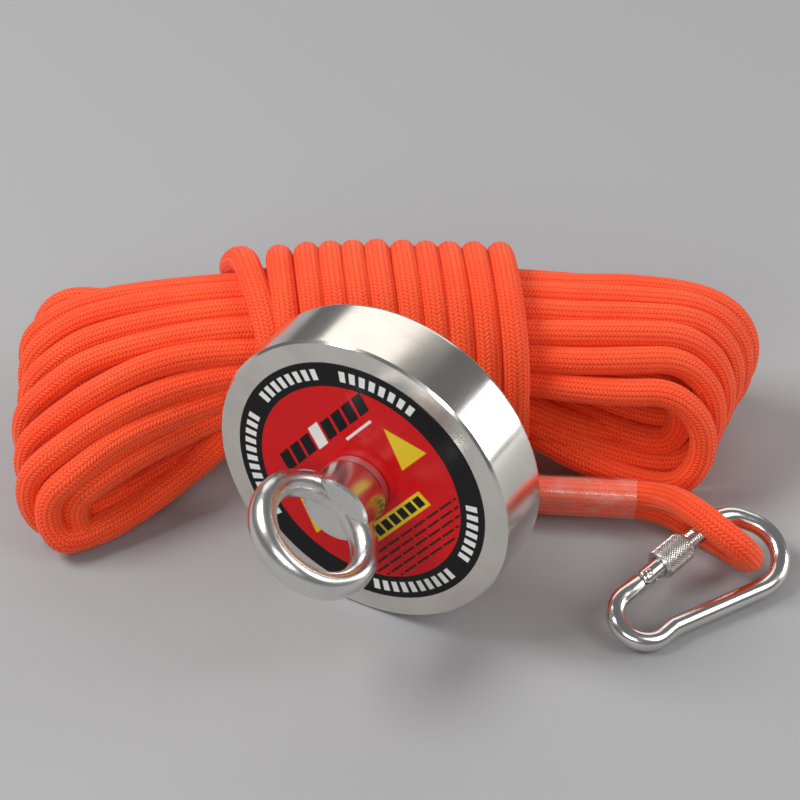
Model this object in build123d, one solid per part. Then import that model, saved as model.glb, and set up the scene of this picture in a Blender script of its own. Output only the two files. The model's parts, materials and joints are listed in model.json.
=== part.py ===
from build123d import *
import math
import os

# Magnet fishing set: a 90 mm pot magnet that stands on its rim, with an oval-ringed eyebolt out of
# its label face, a wrapped hank of 8 mm braided rope behind it, and a screw-lock snap hook in the
# rope's eye. Millimetres. +Z is up, the floor is z = 0, and the magnet's axis runs along Y with
# the label and the eyebolt facing -Y. The origin is on the floor, under the middle of the magnet
# with its eyebolt.

# Pot magnet
POT_RADIUS = 45.0
POT_DEPTH = 20.0
POT_BASE = 8.0
POT_CAVITY_RADIUS = 39.0
FRONT_CHAMFER = 0.7
BACK_FILLET = 1.6
MAGNET_RADIUS = 38.3
MAGNET_BORE_RADIUS = 15.0
POLE_RADIUS = 14.2
FACE_RECESS = 0.4
LABEL_RADIUS = 38.3
LABEL_HOLE_RADIUS = 6.0
LABEL_THICKNESS = 0.25
MOVING_GAP = 0.3

# Eyebolt, M10
SHANK_RADIUS = 4.95
THREAD_HOLE_RADIUS = 5.0
SHANK_END = -18.0
WASHER_RADIUS = 9.05
WASHER_BORE_RADIUS = 5.3
WASHER_THICKNESS = 2.2
WASHER_SPLIT = 1.6
COLLAR_RADIUS = 10.0
COLLAR_TOP = 13.6
COLLAR_CHAMFER = 0.9
RING_HALF_WIDTH = 15.9
RING_HALF_HEIGHT = 14.4
RING_CENTRE = 24.5
RING_SECTION_ACROSS = 3.6
RING_SECTION_THROUGH = 4.75
RING_TURN = 145.5

EYE_REACH = RING_CENTRE + RING_HALF_HEIGHT + RING_SECTION_ACROSS
FACE_Y = (EYE_REACH - POT_DEPTH) / 2
WASHER_BACK = LABEL_THICKNESS + MOVING_GAP
COLLAR_BACK = WASHER_BACK + WASHER_THICKNESS + MOVING_GAP

# Rope and hank
ROPE = 8.0
HANK_X, HANK_Y = -31.5, 79.0
HANK_TURN = 27.5
WRAP_RADIUS = 34.4
WRAP_HALF_LENGTH = 43.5
WRAP_EDGE = 6.0
LEG_GAP = 8.3
LEG_LEAN = 62.0
SLEEVE_WALL = 0.5
SLEEVE_LENGTH = 34.0
PAST_SLEEVE = 5.6
TAIL_SHORT_OF_SLEEVE = 3.0

# Snap hook, from 5.6 mm wire: u runs along its spine, v towards its gate
WIRE_RADIUS = 2.8
HOOK_X, HOOK_Y = 87.1, 53.1
HOOK_TURN = 61.0
HOOK_TILT = 21.5
GATE_SLOPE = 15.1
GATE_OFFSET = 19.5
SMALL_END_RADIUS = 7.9
SMALL_END_U = -20.0
SPINE_BEND_U = 24.1
SPINE_BEND = 50.0
FAR_BEND = 83.0
FAR_BEND_RADIUS = 11.0
SPINE_BEND_RADIUS = 12.0
NOSE_BEND_RADIUS = 9.0
FAR_BEND_RUN = 16.1
PIVOT_U = -10.2
GATE_LENGTH = 24.4
NOSE_NECK_RADIUS = 2.5
NOSE_NECK_LENGTH = 3.0
TONGUE_THICKNESS = 2.0
SLOT_WIDTH = 2.6
TONGUE_LENGTH = 4.6
PIN_RADIUS = 0.9
PIN_FROM_TIP = 2.6
RIVET_RADIUS = 1.2
RIVET_HEAD_RADIUS = 1.9
RIVET_HEAD = 0.6
PIVOT_HOLE_RADIUS = 1.26
CHEEK = 2.4
CHEEK_LENGTH = 1.0
ROOT_GAP = 3.3
LOCK_OUTER_RADIUS = 4.4
LOCK_BORE_RADIUS = 2.9
LOCK_LENGTH = 11.0
LOCK_START = 4.9
SPRING_BORE_RADIUS = 1.5
SPRING_WIRE = 0.35
SPRING_COIL_RADIUS = 1.0
SPRING_START = 4.4
SPRING_LENGTH = 7.0
PLUNGER_RADIUS = 1.4
PLUNGER_LENGTH = 1.4

os.makedirs("parts", exist_ok=True)


def tube(outer, inner, low, high):
    """A plain ring about the z axis, from z = low to z = high."""
    ring = Pos(0, 0, low) * Cylinder(outer, high - low, align=(Align.CENTER, Align.CENTER, Align.MIN))
    hole = Pos(0, 0, low - 1) * Cylinder(inner, high - low + 2, align=(Align.CENTER, Align.CENTER, Align.MIN))
    return ring - hole


def rod(radius, low, high):
    """A plain cylinder about the z axis, from z = low to z = high."""
    return Pos(0, 0, low) * Cylinder(radius, high - low, align=(Align.CENTER, Align.CENTER, Align.MIN))


def turned(outline):
    """A solid of revolution about the z axis, from (radius, z) corners."""
    return revolve(make_face(Plane.XZ * Polyline(*outline, close=True)), Axis.Z)


# The magnet's pieces are drawn about a z axis that points out of the label face, then laid down.
MAGNET = Pos(0, FACE_Y, POT_RADIUS) * Rot(90, 0, 0)


def pot_shell():
    cup = turned([
        (THREAD_HOLE_RADIUS, 0),
        (POT_RADIUS - FRONT_CHAMFER, 0),
        (POT_RADIUS, -FRONT_CHAMFER),
        (POT_RADIUS, -POT_DEPTH),
        (POT_CAVITY_RADIUS, -POT_DEPTH),
        (POT_CAVITY_RADIUS, -POT_BASE),
        (THREAD_HOLE_RADIUS, -POT_BASE),
    ])
    back_rim = cup.edges().filter_by(GeomType.CIRCLE).group_by(Axis.Z)[0].sort_by(SortBy.RADIUS)[-1]
    return fillet(back_rim, BACK_FILLET)


def resin():
    """Cast resin in the gap round the ring magnet and in the gap inside it."""
    high, low = -POT_BASE, FACE_RECESS - POT_DEPTH
    return [
        tube(POT_CAVITY_RADIUS, MAGNET_RADIUS, low, high),
        tube(MAGNET_BORE_RADIUS, POLE_RADIUS, low, high),
    ]


def lock_washer():
    ring = tube(WASHER_RADIUS, WASHER_BORE_RADIUS, WASHER_BACK, WASHER_BACK + WASHER_THICKNESS)
    split = Rot(0, 0, 200) * Pos(WASHER_RADIUS, 0, WASHER_BACK) * Rot(0, 25, 0)
    return ring - split * Box(2 * WASHER_RADIUS, WASHER_SPLIT, 4 * WASHER_THICKNESS)


def eye_ring():
    """The oval ring, drawn in the xz plane as two halves and turned about the bolt's axis."""
    path = Plane.XZ * Pos(0, RING_CENTRE) * EllipticalCenterArc(
        (0, 0), RING_HALF_WIDTH, RING_HALF_HEIGHT, start_angle=-90, arc_size=180)
    start = Plane(origin=path @ 0, x_dir=(0, 0, 1), z_dir=path % 0)
    half = sweep(start * Ellipse(RING_SECTION_ACROSS, RING_SECTION_THROUGH), path)
    return Rot(0, 0, RING_TURN) * (half + mirror(half, Plane.YZ))


def eyebolt():
    body = turned([
        (0, SHANK_END),
        (SHANK_RADIUS - 1, SHANK_END),
        (SHANK_RADIUS, SHANK_END + 1),
        (SHANK_RADIUS, COLLAR_BACK),
        (COLLAR_RADIUS - COLLAR_CHAMFER, COLLAR_BACK),
        (COLLAR_RADIUS, COLLAR_BACK + COLLAR_CHAMFER),
        (COLLAR_RADIUS, COLLAR_TOP - COLLAR_CHAMFER / 2),
        (COLLAR_RADIUS - COLLAR_CHAMFER, COLLAR_TOP),
        (0, COLLAR_TOP),
    ])
    return body + eye_ring()


magnet_nodes = {
    "pot_shell": [pot_shell()],
    "ring_magnet": [tube(MAGNET_RADIUS, MAGNET_BORE_RADIUS, FACE_RECESS - POT_DEPTH, -POT_BASE)],
    "centre_pole": [tube(POLE_RADIUS, THREAD_HOLE_RADIUS, -POT_DEPTH, -POT_BASE)],
    "cast_resin": resin(),
    "face_label": [tube(LABEL_RADIUS, LABEL_HOLE_RADIUS, 0, LABEL_THICKNESS)],
    "lock_washer": [lock_washer()],
    "eyebolt": [eyebolt()],
}

# Snap hook. Its pieces are drawn in the plane of the hook, then set down leaning on the rope.
hook_plane = Pos(HOOK_X, HOOK_Y, WIRE_RADIUS + 0.75) * Rot(0, 0, HOOK_TURN) * Rot(HOOK_TILT, 0, 0)


def step(point, heading, length):
    """The point reached from a point along a heading in degrees."""
    angle = math.radians(heading)
    return (point[0] + length * math.cos(angle), point[1] + length * math.sin(angle))


def gate_point(u, off=0.0):
    """A point of the gate's line, at a distance off towards the outside of the hook."""
    on_line = (u, GATE_OFFSET + u * math.tan(math.radians(GATE_SLOPE)))
    return step(on_line, GATE_SLOPE + 90, off)


def cross(point_a, heading_a, point_b, heading_b):
    """Where two lines meet, each given by a point and a heading."""
    ax, ay = step((0, 0), heading_a, 1)
    bx, by = step((0, 0), heading_b, 1)
    dx, dy = point_b[0] - point_a[0], point_b[1] - point_a[1]
    along = (dx * by - dy * bx) / (ax * by - ay * bx)
    return step(point_a, heading_a, along)


GATE = Pos(*gate_point(PIVOT_U)) * Rot(0, 0, GATE_SLOPE) * Rot(0, 90, 0)
NOSE_START = GATE_LENGTH + 0.4


def along_gate(shape):
    """Sets a shape drawn about z, with its origin at the pivot, along the gate's line."""
    return GATE * shape


def hook_path():
    """The wire's centre line, from the gate's root round the small end and back to the nose."""
    half_step = SMALL_END_RADIUS / math.cos(math.radians(30))
    centre = gate_point(SMALL_END_U)
    centre = step(centre, GATE_SLOPE - 90, SMALL_END_RADIUS)
    corners = [step(centre, GATE_SLOPE + turn, half_step) for turn in (120, 180, 240)]
    root = step(gate_point(PIVOT_U), GATE_SLOPE + 180, ROOT_GAP)
    shoulder = cross(corners[-1], GATE_SLOPE, (0, 0), 0)
    bend = (SPINE_BEND_U, 0)
    far = step(bend, SPINE_BEND, FAR_BEND_RUN)
    turn_in = cross(far, SPINE_BEND + FAR_BEND, gate_point(0), GATE_SLOPE)
    nose = step(gate_point(PIVOT_U), GATE_SLOPE, NOSE_START + NOSE_NECK_LENGTH)
    points = [root, *corners, shoulder, bend, far, turn_in, nose]
    radii = [SMALL_END_RADIUS - 0.1] * 3 + [6.0, SPINE_BEND_RADIUS, FAR_BEND_RADIUS, NOSE_BEND_RADIUS]
    return FilletPolyline(*points, radius=radii)


def tongue(outline):
    """A flat plate across the hook's plane, from (along the gate, across it) corners."""
    plate = extrude(make_face(Polyline(*outline, close=True)), TONGUE_THICKNESS / 2, both=True)
    return Pos(*gate_point(PIVOT_U)) * Rot(0, 0, GATE_SLOPE) * plate


def hook_body():
    path = hook_path()
    start = Plane(origin=path @ 0, z_dir=path % 0)
    wire = sweep(start * Circle(WIRE_RADIUS), path)
    neck = along_gate(rod(NOSE_NECK_RADIUS, NOSE_START, NOSE_START + NOSE_NECK_LENGTH + 0.4))
    half = WIRE_RADIUS - 0.5
    root_tongue = tongue([(-ROOT_GAP - 1, -half), (0, -half), (half * 0.7, -half * 0.7), (half, 0),
                          (half * 0.7, half * 0.7), (0, half), (-ROOT_GAP - 1, half)])
    root_tongue -= Pos(*gate_point(PIVOT_U)) * Cylinder(PIVOT_HOLE_RADIUS, 4 * TONGUE_THICKNESS)
    tip = NOSE_START - TONGUE_LENGTH
    notch = NOSE_START - 0.4 - PIN_FROM_TIP
    play = PIN_RADIUS + MOVING_GAP
    nose_half = NOSE_NECK_RADIUS - 0.1
    nose_tongue = tongue([(NOSE_START + 1, -nose_half), (notch + play, -nose_half), (notch + play, play),
                          (notch - play, play), (notch - play, -nose_half), (tip, -nose_half),
                          (tip, nose_half), (NOSE_START + 1, nose_half)])
    return wire + neck + root_tongue + nose_tongue


def gate():
    """The gate: a rod, forked at both ends, bored for its spring."""
    body = along_gate(rod(WIRE_RADIUS, -WIRE_RADIUS, GATE_LENGTH))
    for side in (1, -1):
        cheek = Box(2 * WIRE_RADIUS + CHEEK_LENGTH, 4 * WIRE_RADIUS, WIRE_RADIUS)
        body -= Pos(*gate_point(PIVOT_U), side * (CHEEK + WIRE_RADIUS / 2)) * Rot(0, 0, GATE_SLOPE) * cheek
    flats = 2 * WIRE_RADIUS + 2
    root = tongue_space(-WIRE_RADIUS - 1, WIRE_RADIUS + 0.4, flats)
    mouth = tongue_space(GATE_LENGTH - TONGUE_LENGTH - 0.2, GATE_LENGTH + 1, flats)
    bore = along_gate(rod(SPRING_BORE_RADIUS, WIRE_RADIUS, SPRING_START + SPRING_LENGTH))
    round_end = Pos(*gate_point(PIVOT_U)) * Cylinder(WIRE_RADIUS, 4 * WIRE_RADIUS)
    beyond = tongue_space(-WIRE_RADIUS - 1, 0, flats, 4 * WIRE_RADIUS) - round_end
    rivet_hole = Pos(*gate_point(PIVOT_U)) * Cylinder(RIVET_RADIUS, 4 * WIRE_RADIUS)
    pin_hole = Pos(*step(gate_point(PIVOT_U), GATE_SLOPE, GATE_LENGTH - PIN_FROM_TIP))
    pin_hole *= Cylinder(PIN_RADIUS, 4 * WIRE_RADIUS)
    return body - root - mouth - bore - beyond - rivet_hole - pin_hole


def tongue_space(start, end, width, thickness=SLOT_WIDTH):
    """The slot that a tongue runs in: from start to end along the gate, open on both sides."""
    block = Box(end - start, width, thickness, align=(Align.MIN, Align.CENTER, Align.CENTER))
    return Pos(*gate_point(PIVOT_U)) * Rot(0, 0, GATE_SLOPE) * Pos(start, 0) * block


def rivet():
    """The gate's rivet, with a low head on each of the gate's two cheeks."""
    shank = Cylinder(RIVET_RADIUS, 2 * CHEEK)
    heads = [Pos(0, 0, side * (CHEEK + RIVET_HEAD / 2)) * Cylinder(RIVET_HEAD_RADIUS, RIVET_HEAD)
             for side in (1, -1)]
    return Pos(*gate_point(PIVOT_U)) * (shank + heads[0] + heads[1])


def latch_pin():
    place = Pos(*step(gate_point(PIVOT_U), GATE_SLOPE, GATE_LENGTH - PIN_FROM_TIP))
    return place * Cylinder(PIN_RADIUS, 2 * WIRE_RADIUS - 0.6)


def lock_sleeve():
    body = rod(LOCK_OUTER_RADIUS, LOCK_START, LOCK_START + LOCK_LENGTH)
    body = chamfer(body.edges().filter_by(GeomType.CIRCLE), 0.6)
    return along_gate(body - rod(LOCK_BORE_RADIUS, LOCK_START - 1, LOCK_START + LOCK_LENGTH + 1))


def gate_spring():
    """The coil spring that presses the plunger on the hook's root tongue."""
    coil = Helix(pitch=1.0, height=SPRING_LENGTH - 2 * SPRING_WIRE, radius=SPRING_COIL_RADIUS)
    section = Plane(origin=coil @ 0, z_dir=coil % 0) * Circle(SPRING_WIRE / 2)
    wire = sweep(section, coil, is_frenet=True)
    return along_gate(Pos(0, 0, SPRING_START + SPRING_WIRE) * wire)


def plunger():
    return along_gate(rod(PLUNGER_RADIUS, SPRING_START - PLUNGER_LENGTH, SPRING_START))


hook_nodes = {
    "hook_body": [hook_body()],
    "hook_gate": [gate()],
    "gate_rivet": [rivet()],
    "latch_pin": [latch_pin()],
    "lock_sleeve": [lock_sleeve()],
    "gate_spring": [gate_spring()],
    "spring_plunger": [plunger()],
}

# Rope. The free stretch runs from the hank to the shrink sleeve, through it, round the snap hook's
# wire, and back into the sleeve, where it ends.
LEAD_POINTS = [
    (-22.0, 72.0, 7.0),
    (-13.0, 62.5, 6.2),
    (0.5, 59.5, 7.5),
]
SLEEVE_START = (20.8, 65.2, 11.9)
SLEEVE_HEADING = 25.0
EYE_POINTS = [
    (65.6, 77.0, 17.2),
    (73.2, 71.0, 21.4),
    (82.0, 67.6, 20.9),
    (89.3, 68.2, 16.6),
    (91.0, 72.6, 10.0),
    (86.8, 77.2, 4.9),
    (78.0, 81.0, 4.0),
    (67.5, 83.4, 4.2),
]


def sleeve_line(along, leg):
    """A point of the sleeve: leg +1 is the upper leg, -1 the lower one that lies behind it."""
    side, rise = step((0, 0), LEG_LEAN, LEG_GAP * (leg - 1) / 2)
    x, y = step(SLEEVE_START[:2], SLEEVE_HEADING, along)
    x, y = step((x, y), SLEEVE_HEADING - 90, side)
    return (x, y, SLEEVE_START[2] + rise)


def lead_route():
    """The points of the free stretch, from the hank to the rope's end."""
    upper = [sleeve_line(-PAST_SLEEVE, 1), sleeve_line(SLEEVE_LENGTH + PAST_SLEEVE, 1)]
    lower = [sleeve_line(SLEEVE_LENGTH + PAST_SLEEVE, -1), sleeve_line(TAIL_SHORT_OF_SLEEVE, -1)]
    return [*LEAD_POINTS, *upper, *EYE_POINTS, *lower]


def tangent_radii(points):
    """For each corner, 0.45 of its shorter run over the tangent of half its turn."""
    radii = []
    for before, here, after in zip(points, points[1:], points[2:]):
        run_in, run_out = Vector(*here) - Vector(*before), Vector(*after) - Vector(*here)
        half_turn = math.radians(run_in.get_angle(run_out)) / 2
        radii.append(0.45 * min(run_in.length, run_out.length) / math.tan(half_turn))
    return radii


def rope_lead():
    route = lead_route()
    radii = tangent_radii(route)
    path = FilletPolyline(*route, radius=radii)
    start = Plane(origin=path @ 0, z_dir=path % 0)
    lead = sweep(start * Circle(ROPE / 2), path)
    print("lead: length", round(path.length, 1), "radii", [round(r, 1) for r in radii])
    print("lead: volume over section x length", round(lead.volume / (math.pi * 16 * path.length), 4))
    return lead


def shrink_sleeve():
    """The clear sleeve: a skin round both legs, filled between them."""
    upper, lower, far = Vector(*sleeve_line(0, 1)), Vector(*sleeve_line(0, -1)), Vector(*sleeve_line(1, 1))
    section = Plane(origin=(upper + lower) / 2, x_dir=upper - lower, z_dir=far - upper)
    skin = SlotCenterToCenter(LEG_GAP, ROPE + 2 * SLEEVE_WALL)
    for side in (1, -1):
        skin -= Pos(side * LEG_GAP / 2, 0) * Circle(ROPE / 2)
    return extrude(section * skin, SLEEVE_LENGTH)


HANK = Pos(HANK_X, HANK_Y, 0) * Rot(0, 0, HANK_TURN)


def lobe(side_outline, plan_outline, end_outline):
    """What three outlines have in common: seen from the side (along, up), from above
    (along, across) and from the end (across, up)."""
    side = extrude(make_face(Plane.XZ * Polyline(*side_outline, close=True)), 100, both=True)
    plan = extrude(make_face(Polyline(*plan_outline, close=True)), 100)
    end = extrude(make_face(Plane.YZ * Polyline(*end_outline, close=True)), 150, both=True)
    return side & plan & end


def rope_hank():
    """The hank's outer shape: the wrapped waist and the two fanned ends."""
    waist = Pos(0, 0, WRAP_RADIUS) * Rot(0, 90, 0) * Cylinder(WRAP_RADIUS, 2 * WRAP_HALF_LENGTH)
    waist = chamfer(waist.edges().filter_by(GeomType.CIRCLE), WRAP_EDGE)
    right = lobe(
        [(30, 8), (55, 0), (90, 0), (106, 10), (114, 22), (114, 36), (104, 50), (80, 60), (30, 62)],
        [(30, -24), (85, -24), (108, -16), (114, -6), (114, 10), (104, 22), (85, 27), (30, 27)],
        [(-24, 0), (12, 0), (27, 12), (27, 50), (14, 63), (-14, 63), (-24, 44)],
    )
    left = lobe(
        [(-30, 60), (-90, 56), (-104, 48), (-111, 36), (-111, 8), (-103, 0), (-60, 0), (-30, 8)],
        [(-30, 27), (-95, 27), (-108, 18), (-111, 0), (-107, -40), (-97, -54), (-85, -54), (-30, -27)],
        [(27, 8), (27, 52), (12, 62), (-12, 60), (-54, 26), (-54, 0), (10, 0)],
    )
    return HANK * (waist + right + left)


rope_nodes = {
    "rope_hank": [rope_hank()],
    "rope_lead": [rope_lead()],
    "shrink_sleeve": [shrink_sleeve()],
}


def write(name, solids, place=None):
    placed = [place * solid for solid in solids] if place else solids
    shape = placed[0] if len(placed) == 1 else Compound(children=placed)
    export_step(shape, f"parts/{name}.step")


for name, solids in magnet_nodes.items():
    write(name, solids, MAGNET)
for name, solids in hook_nodes.items():
    write(name, solids, hook_plane)
for name, solids in rope_nodes.items():
    write(name, solids)
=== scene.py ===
import bmesh
import bpy
import json
import math
import random
from mathutils import Matrix, Vector

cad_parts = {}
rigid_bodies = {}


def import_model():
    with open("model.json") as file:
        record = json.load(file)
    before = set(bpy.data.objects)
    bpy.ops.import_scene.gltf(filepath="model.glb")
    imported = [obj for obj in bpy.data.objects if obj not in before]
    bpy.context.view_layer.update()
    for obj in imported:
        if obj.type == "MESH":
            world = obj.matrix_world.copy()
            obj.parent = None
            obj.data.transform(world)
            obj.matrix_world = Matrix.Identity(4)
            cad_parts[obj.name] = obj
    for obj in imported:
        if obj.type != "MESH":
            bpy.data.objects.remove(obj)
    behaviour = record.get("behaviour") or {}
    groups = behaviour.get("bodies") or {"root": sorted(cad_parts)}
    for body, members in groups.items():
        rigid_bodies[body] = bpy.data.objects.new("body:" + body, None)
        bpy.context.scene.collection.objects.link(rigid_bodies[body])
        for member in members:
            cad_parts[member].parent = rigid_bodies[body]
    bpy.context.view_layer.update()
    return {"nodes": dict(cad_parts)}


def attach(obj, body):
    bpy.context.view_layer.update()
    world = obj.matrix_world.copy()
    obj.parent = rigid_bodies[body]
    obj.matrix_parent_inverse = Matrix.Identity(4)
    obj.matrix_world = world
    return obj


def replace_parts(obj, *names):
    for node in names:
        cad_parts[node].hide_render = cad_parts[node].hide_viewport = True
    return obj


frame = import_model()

MM = 0.001
random.seed(7)

# ---------------------------------------------------------------- places shared with the CAD, mm
POT_RADIUS = 45.0
HANK_X, HANK_Y, HANK_TURN = -31.5, 79.0, math.radians(27.5)
ROPE = 8.0
LEG_GAP, LEG_LEAN = 8.3, math.radians(62.0)
SLEEVE_START, SLEEVE_HEADING = (20.8, 65.2, 11.9), math.radians(25.0)
SLEEVE_LENGTH, PAST_SLEEVE, TAIL_SHORT = 34.0, 5.6, 3.0


# ---------------------------------------------------------------- node helpers
class Nodes:
    """Short calls for building one material's node tree."""

    def __init__(self, name):
        self.mat = bpy.data.materials.new(name)
        self.mat.use_nodes = True
        self.tree = self.mat.node_tree
        self.bsdf = self.tree.nodes["Principled BSDF"]

    def add(self, kind, **values):
        node = self.tree.nodes.new(kind)
        for key, value in values.items():
            setattr(node, key, value)
        return node

    def put(self, socket, value):
        if isinstance(value, bpy.types.NodeSocket):
            self.tree.links.new(value, socket)
        elif value is not None:
            socket.default_value = value

    def math(self, operation, *values):
        node = self.add("ShaderNodeMath", operation=operation)
        for socket, value in zip(node.inputs, values):
            self.put(socket, value)
        return node.outputs[0]

    def mix(self, factor, a, b):
        node = self.add("ShaderNodeMix", data_type="RGBA")
        self.put(node.inputs["Factor"], factor)
        self.put(node.inputs[6], a)
        self.put(node.inputs[7], b)
        return node.outputs[2]

    def span(self, value, low, high, to_low=0.0, to_high=1.0, smooth=True):
        node = self.add("ShaderNodeMapRange", interpolation_type="SMOOTHSTEP" if smooth else "LINEAR")
        names = ("Value", "From Min", "From Max", "To Min", "To Max")
        for name, v in zip(names, (value, low, high, to_low, to_high)):
            self.put(node.inputs[name], v)
        return node.outputs[0]

    def noise(self, scale, detail=3.0, vector=None, rough=0.5):
        node = self.add("ShaderNodeTexNoise")
        node.inputs["Scale"].default_value = scale
        node.inputs["Detail"].default_value = detail
        node.inputs["Roughness"].default_value = rough
        self.put(node.inputs["Vector"], vector if vector is not None else self.place())
        return node.outputs["Fac"]

    def place(self):
        return self.add("ShaderNodeTexCoord").outputs["Object"]

    def uv(self):
        parts = self.add("ShaderNodeSeparateXYZ")
        self.tree.links.new(self.add("ShaderNodeTexCoord").outputs["UV"], parts.inputs[0])
        return parts.outputs[0], parts.outputs[1]

    def xyz(self):
        parts = self.add("ShaderNodeSeparateXYZ")
        self.tree.links.new(self.place(), parts.inputs[0])
        return parts.outputs

    def scaled(self, vector, factors):
        node = self.add("ShaderNodeVectorMath", operation="MULTIPLY")
        self.put(node.inputs[0], vector)
        node.inputs[1].default_value = factors
        return node.outputs[0]

    def bump(self, height, distance, strength):
        node = self.add("ShaderNodeBump")
        node.inputs["Strength"].default_value = strength
        node.inputs["Distance"].default_value = distance
        self.put(node.inputs["Height"], height)
        return node.outputs[0]

    def set(self, **values):
        names = {"color": "Base Color", "metal": "Metallic", "rough": "Roughness", "normal": "Normal",
                 "spec": "Specular IOR Level", "coat": "Coat Weight", "coat_rough": "Coat Roughness",
                 "sheen": "Sheen Weight", "sheen_rough": "Sheen Roughness", "sheen_tint": "Sheen Tint",
                 "alpha": "Alpha"}
        for key, value in values.items():
            self.put(self.bsdf.inputs[names[key]], value)
        return self.mat


# ---------------------------------------------------------------- materials
BRAID_COLUMNS = 16.0
ROPE_GIRTH, STITCH_LENGTH, STITCH_SLANT = 25.13, 1.1, 0.95
# A faint emission of the rope's own colour: a painted glow that brightens the rope.
PAINTED_GLOW = 0.05


def rope_braid():
    """Sixteen columns of short slanted stitches round the rope, leaning left and right in turn, darker in
    the crevices between stitches as painted shade, and given a faint painted glow.
    """
    n = Nodes("rope_braid")
    around, along = n.uv()
    columns = n.math("MULTIPLY", around, BRAID_COLUMNS)
    cell = n.math("FRACT", columns)
    side = n.math("PINGPONG", n.math("FLOOR", columns), 1.0)
    lean = n.math("SUBTRACT", n.math("MULTIPLY", side, 2.0), 1.0)
    stitch = n.math("MULTIPLY", along, ROPE_GIRTH / STITCH_LENGTH)
    slant = n.math("MULTIPLY", n.math("MULTIPLY", cell, lean), STITCH_SLANT)
    shift = n.math("MULTIPLY", side, STITCH_SLANT)
    row = n.math("FRACT", n.math("ADD", n.math("ADD", stitch, slant), shift))
    across = n.math("SINE", n.math("MULTIPLY", cell, math.pi))
    length = n.math("SINE", n.math("MULTIPLY", row, math.pi))
    height = n.math("MULTIPLY", n.math("POWER", across, 0.6), n.math("POWER", length, 0.7))
    fibre = n.noise(2600.0, 2.0)
    height = n.math("ADD", height, n.math("MULTIPLY", fibre, 0.18))
    drift = n.noise(55.0, 3.0)
    light = n.mix(n.span(drift, 0.3, 0.7), (1.0, 0.098, 0.018, 1), (1.0, 0.075, 0.011, 1))
    # Painted shade: the colour darkens from the stitch tops down into the crevices between stitches.
    colour_with_painted_shade = n.mix(n.span(height, 0.0, 0.8), (0.66, 0.018, 0.002, 1), light)
    # Painted glow: the rope emits its colour, painted crevice shade included.
    n.bsdf.inputs["Emission Strength"].default_value = PAINTED_GLOW
    n.put(n.bsdf.inputs["Emission Color"], colour_with_painted_shade)
    return n.set(color=colour_with_painted_shade, rough=0.62, normal=n.bump(height, 0.0003, 0.9), sheen=0.35, sheen_rough=0.45,
                 sheen_tint=(1.0, 0.42, 0.25, 1), spec=0.35)


def metal(name, color, rough, grain=0.0, scratch=0.0, spread=0.04):
    """Plated or polished steel, slightly clouded in its gloss and colour, with fine scratches."""
    n = Nodes(name)
    cloud = n.noise(70.0, 4.0)
    fine = n.noise(900.0, 3.0)
    roughness = n.math("ADD", n.span(cloud, 0.3, 0.7, rough - spread / 2, rough + spread, False),
                       n.math("MULTIPLY", fine, grain))
    dark = tuple(c * 0.88 for c in color[:3]) + (1,)
    tint = n.mix(n.span(cloud, 0.35, 0.75), color, dark)
    marks = n.noise(420.0, 5.0, n.scaled(n.place(), (1.0, 9.0, 1.0)), 0.7)
    return n.set(color=tint, metal=1.0, rough=roughness, normal=n.bump(marks, 0.00002, scratch))


def floor_material():
    """A plain pale floor."""
    n = Nodes("floor")
    return n.set(color=(0.34, 0.34, 0.345, 1), rough=0.75, normal=n.bump(n.noise(900.0, 2.0), 0.0001, 0.15))


# ---------------------------------------------------------------- mesh helpers
SHARP_EDGE = math.radians(42)


def piece(name, bm, body, material):
    """Makes one object of a finished mesh, riding on its body."""
    mesh = bpy.data.meshes.new(name)
    bmesh.ops.recalc_face_normals(bm, faces=bm.faces)
    bm.to_mesh(mesh)
    bm.free()
    for polygon in mesh.polygons:
        polygon.use_smooth = True
    mesh.set_sharp_from_angle(angle=SHARP_EDGE)
    mesh.materials.append(material)
    obj = bpy.data.objects.new(name, mesh)
    bpy.context.scene.collection.objects.link(obj)
    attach(obj, body)
    return obj


# ---------------------------------------------------------------- the rope's route
AXIS_Z = 34.4
BEND_ANGLES = (67.5, 22.5, -22.5, -67.5)
CAGE = math.cos(math.radians(22.5))
WAIST, INNER_WAIST = 38, 14
PAST_WAIST = 14
TOWARDS_STRAND = 0.55


def in_hank(point):
    """A point of the hank's own frame (along, across away from the viewer, up), in the row frame."""
    along, across, up = point
    c, s = math.cos(HANK_TURN), math.sin(HANK_TURN)
    return (HANK_X + along * c - across * s, HANK_Y + along * s + across * c, up)


def at_angle(radius, degrees):
    """A place in the hank's waist, at an angle from straight up towards the viewer."""
    a = math.radians(degrees)
    return (-radius * math.sin(a), AXIS_Z + radius * math.cos(a))


# the waist holds 18 strands in an outer ring (0 to 17) and 10 in an inner one (20 to 29)
WAIST_RADII = {-WAIST: 17.8, -INNER_WAIST: 18.9, INNER_WAIST: 19.6, WAIST: 19.8}
OUTER_STEP, OUTER_START = 20, 21.4
INNER_FIRST, INNER_STEP, INNER_START, INNER_SHARE = 20, 36, 33.4, 0.6


def strand_at(strand, station):
    """Where a strand lies in the waist, which tapers towards the left."""
    radius = WAIST_RADII[station]
    if strand < INNER_FIRST:
        return at_angle(radius, OUTER_STEP * strand - OUTER_START)
    return at_angle(radius * INNER_SHARE, INNER_STEP * (strand - INNER_FIRST) - INNER_START)


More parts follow.
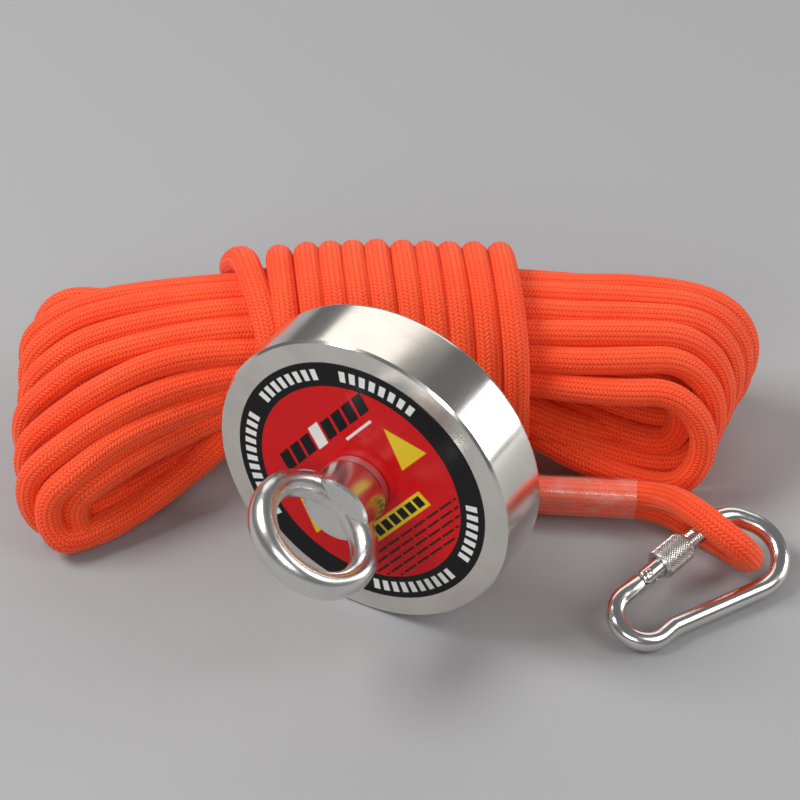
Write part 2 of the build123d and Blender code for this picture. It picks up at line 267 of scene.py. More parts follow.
# each bend: the two strands that it joins, how far it reaches, its top and its bottom (across, up),
# how long its curve is, and the points between the waist and the bend
LEFT = [
    (7, 8, 86, (-50, 21), (-54, 4), 9, [(-56, -30, 25), (-68, -38, 23)]),
    (6, 9, 93, (-52, 25), (-58, 4), 11, [(-58, -30, 31.5), (-74, -39, 29)]),
    (5, 10, 99, (-47, 29), (-51, 4), 12, [(-60, -27, 38.5), (-78, -36, 34)]),
    (4, 11, 101, (-36, 32), (-39, 4), 13, [(-62, -22, 45), (-80, -29, 39)]),
    (3, 12, 103, (-25, 36), (-27, 4), 15, [(-60, -14, 46.5), (-84, -19, 41.5)]),
    (2, 13, 103, (-13, 37), (-15, 4), 14, [(-60, -6.5, 48), (-84, -9, 42.5)]),
    (1, 14, 104, (-3, 38.5), (-6, 6), 14, [(-60, 1.5, 48.5), (-84, 0, 44)]),
    (0, 15, 105, (6, 38), (4, 9), 15, [(-60, 9, 46.5), (-84, 8.5, 42.5)]),
    (20, 29, 95, (7, 33), (5, 16), 8, [(-60, 5, 42), (-80, 6, 35)]),
    (21, 28, 94, (-3, 32), (-5, 14), 8, [(-60, -1, 43), (-80, -2, 34)]),
    (22, 27, 92, (-13, 30), (-14, 12), 8, [(-60, -7, 41), (-80, -10, 33)]),
    (23, 26, 94, (-25, 28), (-26, 12), 8, [(-60, -14, 36), (-80, -20, 31)]),
    (24, 25, 102, (15, 38), (13, 12), 12, [(-60, 12, 34), (-82, 14, 38)]),
]
RIGHT = [
    (5, 8, 93, (-23, 38), (-28, 4), 17, [(55, -23, 38.2), (70, -24, 38)]),
    (4, 7, 96, (-14, 43), (-18, 5), 17, [(55, -19, 45), (70, -18, 45)]),
    (3, 6, 99, (-7, 46), (-10, 5), 18, [(55, -12, 49.5), (70, -11, 49.2)]),
    (2, 9, 102, (1, 46), (-2, 6), 18, [(55, -5, 51), (72, -3, 49.8)]),
    (1, 10, 105, (9, 45), (4, 6), 19, [(55, 3, 51.5), (72, 5, 49.8)]),
    (0, 11, 107, (16, 43), (10, 8), 19, [(55, 10, 50), (72, 13, 48.5)]),
    (17, 12, 100, (20, 37), (15, 8), 16, [(55, 16, 46), (72, 18, 43)]),
    (16, 13, 93, (20, 30), (17, 15), 8, [(55, 20, 38), (74, 20, 33)]),
    (15, 14, 97, (14, 35), (11, 17), 9, [(55, 19, 28), (74, 16, 34)]),
    (20, 29, 95, (8, 37), (5, 15), 10, [(55, 6, 45), (72, 7, 41)]),
    (21, 28, 93, (0, 38), (-2, 15), 10, [(55, -1, 46), (72, -1, 42)]),
    (22, 27, 90, (-7, 37), (-9, 14), 10, [(55, -8, 42), (70, -8, 39)]),
    (23, 26, 87, (-15, 34), (-17, 13), 10, [(55, -13, 36), (68, -15, 36)]),
    (24, 25, 94, (24, 24), (22, 7), 10, [(55, 4, 24), (74, 19, 24)]),
]


def bend_points(side, spec):
    """The control points of one bend, from its first strand to its second."""
    first, second, reach, top, bottom, depth, via = spec
    across, up = (top[0] + bottom[0]) / 2, (top[1] + bottom[1]) / 2
    half_across, half_up = (top[0] - bottom[0]) / 2, (top[1] - bottom[1]) / 2
    points = [tuple(p) for p in via]
    for angle in BEND_ANGLES:
        c, s = math.cos(math.radians(angle)) / CAGE, math.sin(math.radians(angle)) / CAGE
        points.append((side * (reach - depth + depth * c), across + half_across * s, up + half_up * s))
    low = strand_at(second, side * WAIST)
    share = TOWARDS_STRAND
    leaving = [low[i] * share + bottom[i] * (1 - share) for i in (0, 1)]
    points.append((side * (WAIST + PAST_WAIST), *leaving))
    return points


def partners(side, specs):
    """For each strand, the strand that it turns into at this end and the points in between."""
    found = {}
    for spec in specs:
        points = bend_points(side, spec)
        found[spec[0]] = (spec[1], points)
        found[spec[1]] = (spec[0], points[::-1])
    return found


def passing(strand, towards, start=-WAIST, stop=WAIST):
    """A strand's points through the waist, towards +1 (right) or -1 (left)."""
    stations = [s for s in (-WAIST, -INNER_WAIST, INNER_WAIST, WAIST) if start <= s <= stop]
    return [(s, *strand_at(strand, s)) for s in (stations if towards > 0 else stations[::-1])]


def bundle_points():
    """The hank's long turns, as one line: from its inner end to the strand that starts the wraps."""
    left, right = partners(-1, LEFT), partners(1, RIGHT)

    def tour(start):
        """Strands met from one going right, until the tour closes or its strand has no left bend."""
        order, here = [], start
        while True:
            order.append(here)
            here = right[here][0]
            order.append(here)
            if here not in left or left[here][0] == start:
                return order
            here = left[here][0]

    main = tour(16)
    seen = set(main)
    others = []
    for start in list(range(18)) + list(range(20, 30)):
        if start not in seen:
            order = tour(start)
            seen.update(order)
            others.append(order)

    def lay(order):
        """The points from the first strand's middle to the last strand's left end."""
        out = []
        for i in range(0, len(order), 2):
            going, coming = order[i], order[i + 1]
            out += passing(going, 1, -WAIST if i else 0, WAIST) + right[going][1] + passing(coming, -1)
            if i + 2 < len(order):
                out += left[coming][1]
        return out

    path = passing(main[0], 1) + right[main[0]][1] + passing(main[1], -1) + left[main[1]][1]
    path += passing(main[2], 1, -WAIST, 0)
    for order in others:
        path += lay(order) + left[order[-1]][1] + passing(order[0], 1, -WAIST, 0)
    rest = main[2:]
    return path + lay(rest)


# the wraps: where each turn comes over the top from behind, and how far from the axis it lies
WRAP_BACKS = [-41.4, -31.3, -23.2, -16.4, -9.9, -3.0, 4.6, 11.5, 18.3, 25.5, 33.1, 40.3]
WRAP_RADII = [24.2, 25.2, 26.2, 26.7, 27.1, 27.5, 27.4, 27.3, 27.3, 27.4, 27.4, 27.4]
WRAP_LEAN, FIRST_WRAP_MORE = 5.6, 5.5
WRAPS, WRAP_STEPS, LAST_STEP = 11, 12, 7
LEAN_FROM, LEAN_TO = -38, 70
WRAP_WANDER = 0.12


def wrap_points():
    """Eleven turns from left to right, over the top, down the viewer's side and up behind."""
    points = [(-46, 21, 45), (-45, 18, 51)]
    step = 360 // WRAP_STEPS
    spread = 1 / math.cos(math.radians(step / 2))
    for turn in range(WRAPS):
        lean = WRAP_LEAN + (FIRST_WRAP_MORE if turn == 0 else 0)
        pitch = WRAP_BACKS[turn + 1] - WRAP_BACKS[turn]
        for i in range(WRAP_STEPS):
            angle = step * (i - 1)
            if turn == WRAPS - 1 and i > LAST_STEP:
                break
            rise = min(1.0, (angle - LEAN_FROM) / (LEAN_TO - LEAN_FROM))
            rise = rise * rise * (3 - 2 * rise)
            rest = max(0.0, (angle - LEAN_TO) / (360 - LEAN_TO + LEAN_FROM))
            place = WRAP_BACKS[turn] + lean * rise + (pitch - lean) * rest
            radius = WRAP_RADII[turn] + (WRAP_RADII[turn + 1] - WRAP_RADII[turn]) * i / WRAP_STEPS
            across, up = at_angle(radius * spread, angle)
            points.append((place + random.uniform(-WRAP_WANDER, WRAP_WANDER), across, up))
    return points


def tuck_points():
    """From the last wrap in under the others, and out again on the floor behind the magnet."""
    return [(37, 9, 9), (26, 4, 11), (14, -2, 10.5)]


LEAD_POINTS = [(-22.0, 72.0, 7.0), (-13.0, 62.5, 6.2), (0.5, 59.5, 7.5)]
EYE_POINTS = [(65.6, 77.0, 17.2), (73.2, 71.0, 21.4), (82.0, 67.6, 20.9), (89.3, 68.2, 16.6),
              (91.0, 72.6, 10.0), (86.8, 77.2, 4.9), (78.0, 81.0, 4.0), (67.5, 83.4, 4.2)]


def sleeve_line(along, leg):
    """A point of the sleeve's upper (+1) or lower (-1) leg."""
    shift = LEG_GAP * (leg - 1) / 2
    side, rise = shift * math.cos(LEG_LEAN), shift * math.sin(LEG_LEAN)
    c, s = math.cos(SLEEVE_HEADING), math.sin(SLEEVE_HEADING)
    x, y, z = SLEEVE_START
    return (x + along * c + side * s, y + along * s - side * c, z + rise)


def lead_points():
    """The free stretch: past the magnet, through the sleeve, round the hook and back."""
    far = SLEEVE_LENGTH + PAST_SLEEVE
    upper = [sleeve_line(a, 1) for a in (-PAST_SLEEVE, 10.0, far - 11.6, far)]
    lower = [sleeve_line(a, -1) for a in (far, far - 12.6, TAIL_SHORT)]
    return LEAD_POINTS + upper + EYE_POINTS + lower


ROUTE_STEPS, ROPE_SIDES = 10, 20


def spline_points(name, points):
    """The points of the smooth line that a NURBS spline draws from its control points."""
    curve = bpy.data.curves.new(name, "CURVE")
    curve.dimensions = "3D"
    spline = curve.splines.new("NURBS")
    spline.points.add(len(points) - 1)
    for control, (x, y, z) in zip(spline.points, points):
        control.co = (x * MM, y * MM, z * MM, 1.0)
    spline.order_u = 3
    spline.use_endpoint_u = True
    curve.resolution_u = ROUTE_STEPS
    obj = bpy.data.objects.new(name, curve)
    bpy.context.scene.collection.objects.link(obj)
    mesh = bpy.data.meshes.new_from_object(obj)
    line = [v.co.copy() for v in mesh.vertices]
    bpy.data.objects.remove(obj)
    bpy.data.meshes.remove(mesh)
    return line


def tube_along(bm, line, radius, sides):
    """A closed tube along a line, with a UV that counts turns round it and circumferences along it."""
    uv = bm.loops.layers.uv.new("UVMap")
    rings, lengths = [], []
    normal = None
    travelled = 0.0
    for i, here in enumerate(line):
        ahead = (line[min(i + 1, len(line) - 1)] - line[max(i - 1, 0)]).normalized()
        if normal is None:
            normal = ahead.orthogonal().normalized()
        normal = (normal - ahead * normal.dot(ahead)).normalized()
        side = ahead.cross(normal)
        if i:
            travelled += (here - line[i - 1]).length
        ring = []
        for k in range(sides):
            a = 2 * math.pi * k / sides
            ring.append(bm.verts.new(here + (normal * math.cos(a) + side * math.sin(a)) * radius))
        rings.append(ring)
        lengths.append(travelled / (2 * math.pi * radius))
    for i in range(len(rings) - 1):
        here, ahead = rings[i], rings[i + 1]
        for k in range(sides):
            j = (k + 1) % sides
            face = bm.faces.new((here[k], here[j], ahead[j], ahead[k]))
            for loop, (u, v) in zip(face.loops, ((k, i), (k + 1, i), (k + 1, i + 1), (k, i + 1))):
                loop[uv].uv = (u / sides, lengths[v])
    bm.faces.new(rings[0][::-1])
    bm.faces.new(rings[-1])
    return travelled


MAT_ROPE = rope_braid()
route = [in_hank(p) for p in bundle_points() + wrap_points() + tuck_points()] + lead_points()
line = spline_points("rope_route", route)
bm = bmesh.new()
rope_length = tube_along(bm, line, ROPE / 2 * MM, ROPE_SIDES)
rope = piece("rope", bm, "rope", MAT_ROPE)
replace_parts(rope, "rope_hank", "rope_lead")


# ---------------------------------------------------------------- the other materials
LABEL_TURN = math.radians(51.0)
RED_RADIUS = 31.0
LETTER_GAP = 5.0


def label_film():
    """A laminated label: a red disc in a black ring, with plain bars and dashes for its print."""
    n = Nodes("label_film")
    x, _, z = n.xyz()
    x = n.math("MULTIPLY", x, 1000.0)
    z = n.math("SUBTRACT", n.math("MULTIPLY", z, 1000.0), POT_RADIUS)
    c, s = math.cos(LABEL_TURN), math.sin(LABEL_TURN)
    u = n.math("ADD", n.math("MULTIPLY", x, c), n.math("MULTIPLY", z, s))
    v = n.math("SUBTRACT", n.math("MULTIPLY", z, c), n.math("MULTIPLY", x, s))
    radius = n.math("SQRT", n.math("ADD", n.math("MULTIPLY", x, x), n.math("MULTIPLY", z, z)))
    angle = n.math("MULTIPLY", n.math("ARCTAN2", v, u), 180 / math.pi)

    def inside(value, low, high, soft=0.12):
        above = n.span(value, low - soft, low + soft)
        return n.math("MULTIPLY", above, n.span(value, high + soft, high - soft))

    def bar(low_u, high_u, low_v, high_v):
        return n.math("MULTIPLY", inside(u, low_u, high_u), inside(v, low_v, high_v))

    def repeated(value, offset, pitch, low, high, soft):
        cell = n.math("FRACT", n.math("DIVIDE", n.math("ADD", value, offset), pitch))
        return inside(cell, low, high, soft)

    red, black, white = (0.62, 0.004, 0.006, 1), (0.004, 0.004, 0.005, 1), (0.80, 0.80, 0.78, 1)
    yellow, dark_red = (0.80, 0.55, 0.02, 1), (0.05, 0.004, 0.004, 1)
    color = n.mix(n.span(radius, RED_RADIUS, RED_RADIUS + 0.2), red, black)
    sector = None
    for low, high in ((10, 50), (60, 100), (110, 170), (-135, -85), (-75, -40)):
        part = inside(angle, low, high, 0.4)
        sector = part if sector is None else n.math("MAXIMUM", sector, part)
    dashes = repeated(angle, 360.0, LETTER_GAP, 0.2, 0.8, 0.03)
    ring = n.math("MULTIPLY", n.math("MULTIPLY", inside(radius, 33.0, 36.4), sector), dashes)
    color = n.mix(ring, color, white)
    slope = n.math("SUBTRACT", u, n.math("MULTIPLY", v, 0.35))
    band = n.math("MULTIPLY", inside(slope, -23.6, 18.0), inside(v, 14.2, 19.6))
    blocks = n.math("MULTIPLY", repeated(slope, 60.0, 5.2, 0.1, 0.9, 0.02), band)
    color = n.mix(blocks, color, black)
    white_block = n.math("MULTIPLY", inside(slope, -7.6, -3.2), inside(v, 13.9, 20.4))
    color = n.mix(white_block, color, white)
    color = n.mix(bar(8, 20, 11.2, 12.0), color, white)
    color = n.mix(bar(-15, 15, -16.2, -11.2), color, yellow)
    stubs = repeated(u, 60.0, 3.9, 0.12, 0.88, 0.03)
    color = n.mix(n.math("MULTIPLY", stubs, bar(-13.6, 13.6, -15.3, -12.1)), color, black)
    for low_v, half in ((-18.6, 24), (-20.8, 22.5), (-23.0, 20.5), (-25.2, 17.5), (-27.4, 13.5)):
        words = repeated(u, 60.0 - low_v, 6.3, 0.06, 0.94, 0.02)
        row = bar(-half, half, low_v - 0.35, low_v + 0.35)
        color = n.mix(n.math("MULTIPLY", words, row), color, dark_red)
    for side in (1, -1):
        du = n.math("ABSOLUTE", n.math("SUBTRACT", u, side * 21.7))
        slopes = n.math("ADD", n.math("MULTIPLY", du, 2.1), n.math("SUBTRACT", v, 8.0))
        triangle = n.math("MULTIPLY", n.span(slopes, 0.2, -0.2), n.span(v, -4.3, -4.0))
        color = n.mix(triangle, color, yellow)
    gloss = n.span(n.noise(300.0, 3.0), 0.3, 0.7, 0.2, 0.3, False)
    return n.set(color=color, rough=gloss, spec=0.22,
                 normal=n.bump(n.noise(160.0, 3.0), 0.00005, 0.25))


def clear_shrink():
    """Clear heat-shrink film over the rope."""
    n = Nodes("clear_shrink")
    folds = n.noise(240.0, 4.0, n.scaled(n.place(), (0.7, 1.4, 1.4)), 0.6)
    n.mat.blend_method = "HASHED"
    alpha = n.span(folds, 0.4, 0.75, 0.10, 0.34)
    return n.set(color=(0.95, 0.52, 0.42, 1), rough=0.14, alpha=alpha, spec=0.9,
                 normal=n.bump(folds, 0.0005, 0.6), coat=0.7, coat_rough=0.08)


def black_resin():
    """Black casting resin, uneven in its gloss."""
    n = Nodes("black_resin")
    gloss = n.span(n.noise(220.0, 4.0), 0.3, 0.7, 0.22, 0.42, False)
    return n.set(color=(0.012, 0.012, 0.013, 1), rough=gloss, spec=0.5,
                 normal=n.bump(n.noise(380.0, 3.0), 0.0001, 0.35))


MATS = {
    "nickel_steel": metal("nickel_steel", (0.80, 0.77, 0.72, 1), 0.14, 0.03, 0.10),
    "nickel_magnet": metal("nickel_magnet", (0.66, 0.64, 0.61, 1), 0.22, 0.04, 0.16),
    "zinc_steel": metal("zinc_steel", (0.78, 0.77, 0.75, 1), 0.36, 0.05, 0.20),
    "chromed_steel": metal("chromed_steel", (0.76, 0.75, 0.73, 1), 0.23, 0.04, 0.10),
    "hook_steel": metal("hook_steel", (0.79, 0.78, 0.75, 1), 0.17, 0.04, 0.12),
    "knurled_steel": metal("knurled_steel", (0.66, 0.65, 0.62, 1), 0.27, 0.05, 0.12),
    "spring_steel": metal("spring_steel", (0.52, 0.52, 0.52, 1), 0.24, 0.05, 0.12),
    "label_film": label_film(),
    "clear_shrink": clear_shrink(),
    "black_resin": black_resin(),
}
FINISH = {
    "pot_shell": "nickel_steel", "centre_pole": "nickel_steel", "ring_magnet": "nickel_magnet",
    "cast_resin": "black_resin", "face_label": "label_film", "lock_washer": "zinc_steel",
    "eyebolt": "chromed_steel", "hook_body": "hook_steel", "hook_gate": "hook_steel",
    "gate_rivet": "hook_steel", "latch_pin": "hook_steel", "spring_plunger": "hook_steel",
    "lock_sleeve": "knurled_steel", "gate_spring": "spring_steel", "shrink_sleeve": "clear_shrink",
    "rope_hank": "rope_braid", "rope_lead": "rope_braid",
}
for name, slot in FINISH.items():
    mesh = frame["nodes"][name].data
    mesh.materials.clear()
    mesh.materials.append(MATS.get(slot, MAT_ROPE))

# ---------------------------------------------------------------- the hook's gate, thread and knurled sleeve
PIVOT = Vector((0.068526, 0.051733, 0.009688)) / MM
GATE_AXIS = Vector((0.256082, 0.961929, 0.095475)).normalized()
HOOK_UP = Vector((0.320549, -0.177683, 0.930418)).normalized()
GATE_SIDE = HOOK_UP.cross(GATE_AXIS).normalized()


def on_gate(along, angle, radius):
    """A point about the gate's line, in metres; the angle is turned from the hook's own plane."""
    p = PIVOT + GATE_AXIS * along + (GATE_SIDE * math.cos(angle) + HOOK_UP * math.sin(angle)) * radius
    return p * MM


def turned_grid(bm, stations, count, radius_at, closed_angle=True, start=0.0, sweep=2 * math.pi):
    """A skin about the gate's line: one row of points per station, each at radius_at(station, angle)."""
    rows = []
    angles = [start + sweep * k / count for k in range(count if closed_angle else count + 1)]
    for station in stations:
        rows.append([bm.verts.new(on_gate(station, a, radius_at(station, a))) for a in angles])
    for lower, upper in zip(rows, rows[1:]):
        for k in range(count):
            j = (k + 1) % len(lower)
            bm.faces.new((lower[k], lower[j], upper[j], upper[k]))
    return rows


def wave(x):
    """A zigzag from 0 to 1 and back, once per unit."""
    return 1 - abs(2 * (x - math.floor(x)) - 1)


LOCK_START, LOCK_LENGTH, LOCK_BORE = 4.9, 11.0, 2.95
KNURL_SIDES, KNURLS, KNURL_PITCH = 300, 30, 1.05
KNURL_EDGE, KNURL_EASE, KNURL_DEPTH = 0.5, 0.35, 0.46


def knurled_sleeve():
    """The lock sleeve, with its diamond knurling cut in the mesh and a plain bevel at each end."""
    bm = bmesh.new()
    low, high = LOCK_START, LOCK_START + LOCK_LENGTH

    def outside(along, angle):
        edge = min(along - low, high - along)
        if edge < KNURL_EDGE:
            return 3.75 + edge
        a = angle * KNURLS / (2 * math.pi)
        cut = min(wave(a + along / KNURL_PITCH), wave(a - along / KNURL_PITCH))
        ease = min(1.0, (edge - KNURL_EDGE) / KNURL_EASE)
        return 4.2 + KNURL_DEPTH * (min(cut, 0.7) - 0.28) * ease

    middle = [low + 0.5 + 10.0 * i / 100 for i in range(1, 100)]
    steps = [low, low + 0.25, low + 0.5] + middle + [high - 0.5, high - 0.25, high]
    skin = turned_grid(bm, steps, KNURL_SIDES, outside)
    bore = turned_grid(bm, (low, high), KNURL_SIDES, lambda along, angle: LOCK_BORE)
    for outer, inner in ((skin[0], bore[0]), (skin[-1], bore[-1])):
        for k in range(KNURL_SIDES):
            j = (k + 1) % KNURL_SIDES
            bm.faces.new((outer[k], outer[j], inner[j], inner[k]))
    return piece("knurled_sleeve", bm, "lock_sleeve", MATS["knurled_steel"])


THREAD_ROOT, THREAD_DEPTH, THREAD_PITCH = 2.62, 0.22, 0.8


def gate_thread():
    """The thread that the lock sleeve screws along: a skin on the gate's outer half."""
    bm = bmesh.new()

    def ridge(along, angle):
        return THREAD_ROOT + THREAD_DEPTH * wave(along / THREAD_PITCH - angle / (2 * math.pi))

    turned_grid(bm, [12.0 + 0.1 * i for i in range(75)], 72, ridge)
    beside_slot = [19.4 + 0.1 * i for i in range(49)]
    for start in (30, 210):
        turned_grid(bm, beside_slot, 32, ridge, False, math.radians(start), math.radians(120))
    return piece("gate_thread", bm, "gate", MATS["hook_steel"])


HOOK_PLACE = Vector((87.1, 53.1, 3.55))
HOOK_X = Vector((math.cos(math.radians(61)), math.sin(math.radians(61)), 0))
HOOK_Y = HOOK_UP.cross(HOOK_X)
GATE_SLOPE = math.radians(15.1)
WIRE, WIRE_SIDES = 2.8, 56


def reach(point, heading, length):
    """The point of the hook's plane reached from another along a heading."""
    return Vector((point[0] + length * math.cos(heading), point[1] + length * math.sin(heading)))


def meet(a, heading_a, b, heading_b):
    """Where two lines of the hook's plane meet."""
    u, v = reach((0, 0), heading_a, 1), reach((0, 0), heading_b, 1)
    d = Vector(b) - Vector(a)
    return reach(a, heading_a, (d.x * v.y - d.y * v.x) / (u.x * v.y - u.y * v.x))


def rounded(corners, radii):
    """A line through the hook's plane with an arc at each inner corner."""
    line = [corners[0]]
    for before, here, after, radius in zip(corners, corners[1:], corners[2:], radii):
        into, out = (here - before).normalized(), (after - here).normalized()
        turn = into.angle_signed(out) * -1
        run = radius * math.tan(abs(turn) / 2)
        start = here - into * run
        side = math.copysign(1, turn)
        centre = start + Vector((-into.y, into.x)) * radius * side
        steps = max(6, int(abs(turn) / 0.07))
        r = start - centre
        for i in range(steps + 1):
            c, s = math.cos(turn * i / steps), math.sin(turn * i / steps)
            line.append(centre + Vector((r.x * c - r.y * s, r.x * s + r.y * c)))
    return line + [corners[-1]]


def gate_point(u):
    """A point of the gate's line in the hook's plane."""
    return Vector((u, 19.5 + u * math.tan(GATE_SLOPE)))


SMALL_END = 7.9
ROOT_TONGUE = [(-3.8, -2.3), (0.4, -2.3), (1.6, -1.6), (2.3, 0), (1.6, 1.6), (0.4, 2.3), (-3.8, 2.3)]
NOSE_TONGUE = [(25.0, -2.35), (23.0, -2.35), (23.0, 1.2), (20.6, 1.2), (20.6, -2.35), (20.0, -2.35),
               (20.0, 2.35), (25.0, 2.35)]


def hook_wire():
    """The hook's bent wire, with its tongues for the gate's slots."""
    pivot = gate_point(-10.2)
    centre = reach(gate_point(-20.0), GATE_SLOPE - math.pi / 2, SMALL_END)
    corner = SMALL_END / math.cos(math.pi / 6)
    small = [reach(centre, GATE_SLOPE + math.radians(t), corner) for t in (120, 180, 240)]
    root = reach(pivot, GATE_SLOPE + math.pi, 3.3)
    spine_bend = Vector((24.1, 0))
    far = reach(spine_bend, math.radians(50), 16.1)
    turn_in = meet(far, math.radians(133), gate_point(0), GATE_SLOPE)
    nose = reach(pivot, GATE_SLOPE, 27.8)
    corners = [root, *small, meet(small[-1], GATE_SLOPE, (0, 0), 0), spine_bend, far, turn_in, nose]
    line = rounded(corners, [7.8, 7.8, 7.8, 2.9, 12.0, 11.0, 9.0])
    first, last = (line[1] - line[0]).normalized(), (line[-1] - line[-2]).normalized()
    start = [line[0], line[0] + first * 0.15, line[0] + first * 0.4]
    end = [line[-1] - last * 0.4, line[-1] - last * 0.15, line[-1]]
    line = start + line[1:-1] + end
    radii = [2.4, 2.68] + [WIRE] * (len(line) - 4) + [2.68, 2.4]
    bm = bmesh.new()
    rows = []
    for i, here in enumerate(line):
        ahead = (line[min(i + 1, len(line) - 1)] - line[max(i - 1, 0)]).normalized()
        across = HOOK_X * -ahead.y + HOOK_Y * ahead.x
        middle = HOOK_PLACE + HOOK_X * here.x + HOOK_Y * here.y
        rows.append([bm.verts.new((middle + (across * math.cos(a) + HOOK_UP * math.sin(a)) * radii[i]) * MM)
                     for a in (2 * math.pi * k / WIRE_SIDES for k in range(WIRE_SIDES))])
    for lower, upper in zip(rows, rows[1:]):
        for k in range(WIRE_SIDES):
            j = (k + 1) % WIRE_SIDES
            bm.faces.new((lower[k], lower[j], upper[j], upper[k]))
    bm.faces.new(rows[0][::-1])
    bm.faces.new(rows[-1])
    neck = turned_grid(bm, (24.75, 28.0), 48, lambda along, angle: 2.5)
    bm.faces.new(neck[0][::-1])
    bm.faces.new(neck[-1])
    for outline in (ROOT_TONGUE, NOSE_TONGUE):
        plates = [[bm.verts.new((PIVOT + GATE_AXIS * a + GATE_SIDE * b + HOOK_UP * c) * MM)
                   for a, b in outline] for c in (-1, 1)]
        bm.faces.new(plates[0][::-1])
        bm.faces.new(plates[1])
        for k in range(len(outline)):
            j = (k + 1) % len(outline)
            bm.faces.new((plates[0][k], plates[0][j], plates[1][j], plates[1][k]))
    return piece("snap_hook", bm, "hook", MATS["hook_steel"])


def box_along_gate(name, low, high, side, up):
    """A box about the gate's line, for cutting."""
    bm = bmesh.new()
    corners = [PIVOT + GATE_AXIS * a + GATE_SIDE * b + HOOK_UP * c
               for a in (low, high) for b in (-side, side) for c in (-up, up)]
    verts = [bm.verts.new(c * MM) for c in corners]
    for quad in ((0, 1, 3, 2), (4, 6, 7, 5), (0, 4, 5, 1), (2, 3, 7, 6), (0, 2, 6, 4), (1, 5, 7, 3)):
        bm.faces.new([verts[q] for q in quad])
    bmesh.ops.recalc_face_normals(bm, faces=bm.faces)
    mesh = bpy.data.meshes.new(name)
    bm.to_mesh(mesh)
    bm.free()
    obj = bpy.data.objects.new(name, mesh)
    bpy.context.scene.collection.objects.link(obj)
    return obj


def apply_booleans(obj, cutters):
    """Cuts one object with others, keeps the result and removes the cutters."""
    for cutter in cutters:
        cut = obj.modifiers.new("cut", "BOOLEAN")
        cut.operation, cut.object, cut.solver = "DIFFERENCE", cutter, "EXACT"
    bpy.context.view_layer.update()
    done = bpy.data.meshes.new_from_object(obj.evaluated_get(bpy.context.evaluated_depsgraph_get()))
    obj.modifiers.clear()
    old, obj.data = obj.data, done
    bpy.data.meshes.remove(old)
    for cutter in cutters:
        bpy.data.objects.remove(cutter)
    return obj


def visible_gate():
    """The gate: a round rod with forked ends and a domed root."""
    bm = bmesh.new()
    root, tip = -2.6, 24.3
    profile = [(root, 1.9), (root + 0.25, 2.3), (root + 0.7, 2.62), (root + 1.3, 2.76), (root + 2.0, 2.8),
               (11.9, 2.8), (12.05, 2.55), (tip - 0.25, 2.55), (tip, 2.35)]
    rows = turned_grid(bm, [a for a, _ in profile], 96, lambda along, angle: dict(profile)[along])
    bm.faces.new(rows[0][::-1])
    bm.faces.new(rows[-1])
    obj = piece("snap_gate", bm, "gate", MATS["hook_steel"])
    root_slot = box_along_gate("root_slot", -4, 3.3, 4, 1.3)
    apply_booleans(obj, [root_slot, box_along_gate("mouth_slot", 19.6, 25.5, 4, 1.3)])
    edges = obj.modifiers.new("edges", "BEVEL")
    edges.width, edges.segments = 0.12 * MM, 2
    edges.limit_method, edges.angle_limit = "ANGLE", math.radians(50)
    return obj


RIVET_SIDES = 40


def rivet_heads():
    """The gate's rivet: a shank with a low dome at each end."""
    bm = bmesh.new()
    dome = [(0.0, 3.12), (0.45, 3.08), (0.85, 2.95), (1.12, 2.72), (1.2, 2.5)]
    profile = dome + [(r, -h) for r, h in dome[::-1]]
    rows = []
    for r, h in profile:
        middle = PIVOT + HOOK_UP * h
        if r == 0.0:
            rows.append([bm.verts.new(middle * MM)])
            continue
        angles = [2 * math.pi * k / RIVET_SIDES for k in range(RIVET_SIDES)]
        rows.append([bm.verts.new((middle + (GATE_SIDE * math.cos(a) + GATE_AXIS * math.sin(a)) * r) * MM)
                     for a in angles])
    for a, b in zip(rows, rows[1:]):
        for k in range(RIVET_SIDES):
            j = (k + 1) % RIVET_SIDES
            corners = [a[0]] if len(a) == 1 else [a[k], a[j]]
            corners += [b[0]] if len(b) == 1 else [b[j], b[k]]
            bm.faces.new(corners)
    return piece("rivet", bm, "gate", MATS["hook_steel"])


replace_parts(knurled_sleeve(), "lock_sleeve")
hook = hook_wire()
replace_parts(hook, "hook_body")
snap_gate = visible_gate()
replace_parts(snap_gate, "hook_gate")
gate_thread()
rivet = rivet_heads()
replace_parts(rivet, "gate_rivet")

with_rope = [frame["nodes"][n] for n in ("latch_pin", "gate_spring", "spring_plunger", "shrink_sleeve")]
drawn = ("snap_hook", "knurled_sleeve", "snap_gate", "gate_thread", "rivet")
with_rope += [bpy.data.objects[n] for n in drawn]

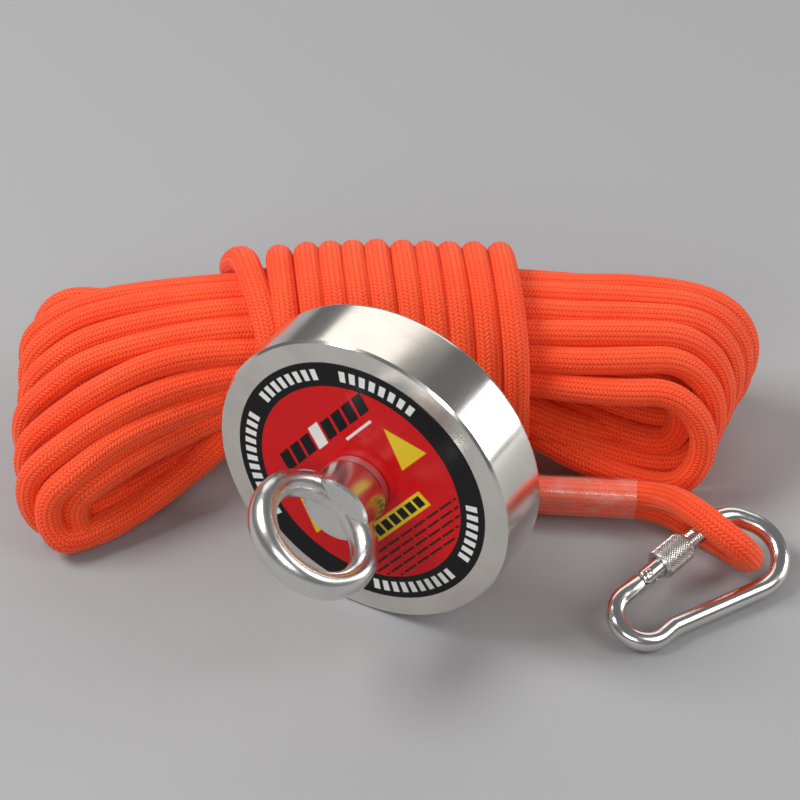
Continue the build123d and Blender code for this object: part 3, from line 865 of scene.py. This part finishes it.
# ---------------------------------------------------------------- floor, light and camera
mesh = bpy.data.meshes.new("floor")
mesh.from_pydata([(-4, -4, 0), (4, -4, 0), (4, 6, 0), (-4, 6, 0)], [], [(0, 1, 2, 3)])
mesh.materials.append(floor_material())
floor = bpy.data.objects.new("floor", mesh)
bpy.context.scene.collection.objects.link(floor)


def area_light(name, place, target, size, power, color=(1, 1, 1)):
    """A soft rectangular light that faces a point."""
    data = bpy.data.lights.new(name, "AREA")
    data.shape = "RECTANGLE"
    data.size, data.size_y = size
    data.energy = power
    data.color = color
    obj = bpy.data.objects.new(name, data)
    obj.location = place
    obj.rotation_mode = "QUATERNION"
    obj.rotation_quaternion = (Vector(target) - Vector(place)).to_track_quat("-Z", "Y")
    bpy.context.scene.collection.objects.link(obj)


area_light("key", (-0.75, -0.35, 1.0), (0, 0.05, 0.03), (0.7, 0.5), 14.5)
area_light("back_left", (-0.62, 1.15, 0.92), (-0.05, 0.05, 0.03), (1.9, 0.85), 6.2, (1.0, 0.95, 0.89))
area_light("over_right", (1.0, 0.15, 0.95), (0.05, 0.06, 0.02), (0.6, 0.7), 5.0)
area_light("right", (1.05, 0.95, 0.42), (0, 0.05, 0.03), (0.45, 0.6), 7.5)
area_light("front", (0.35, -1.1, 0.75), (0, 0.05, 0.03), (0.7, 0.3), 5.0)
world = bpy.data.worlds.new("studio")
world.use_nodes = True
world.node_tree.nodes["Background"].inputs[0].default_value = (0.50, 0.505, 0.52, 1)
world.node_tree.nodes["Background"].inputs[1].default_value = 0.30
bpy.context.scene.world = world
bpy.context.scene.view_settings.view_transform = "Standard"

camera = bpy.data.cameras.new("camera")
camera.sensor_width = 36.0
camera.lens = 132.91
camera.clip_start, camera.clip_end = 0.05, 20.0
view = bpy.data.objects.new("camera", camera)
view.matrix_world = Matrix(((0.86949, -0.30715, 0.38683, 0.31197),
                            (0.49394, 0.54068, -0.68095, -0.51614),
                            (0.0, 0.78315, 0.62183, 0.55993),
                            (0, 0, 0, 1)))
bpy.context.scene.collection.objects.link(view)
bpy.context.scene.camera = view
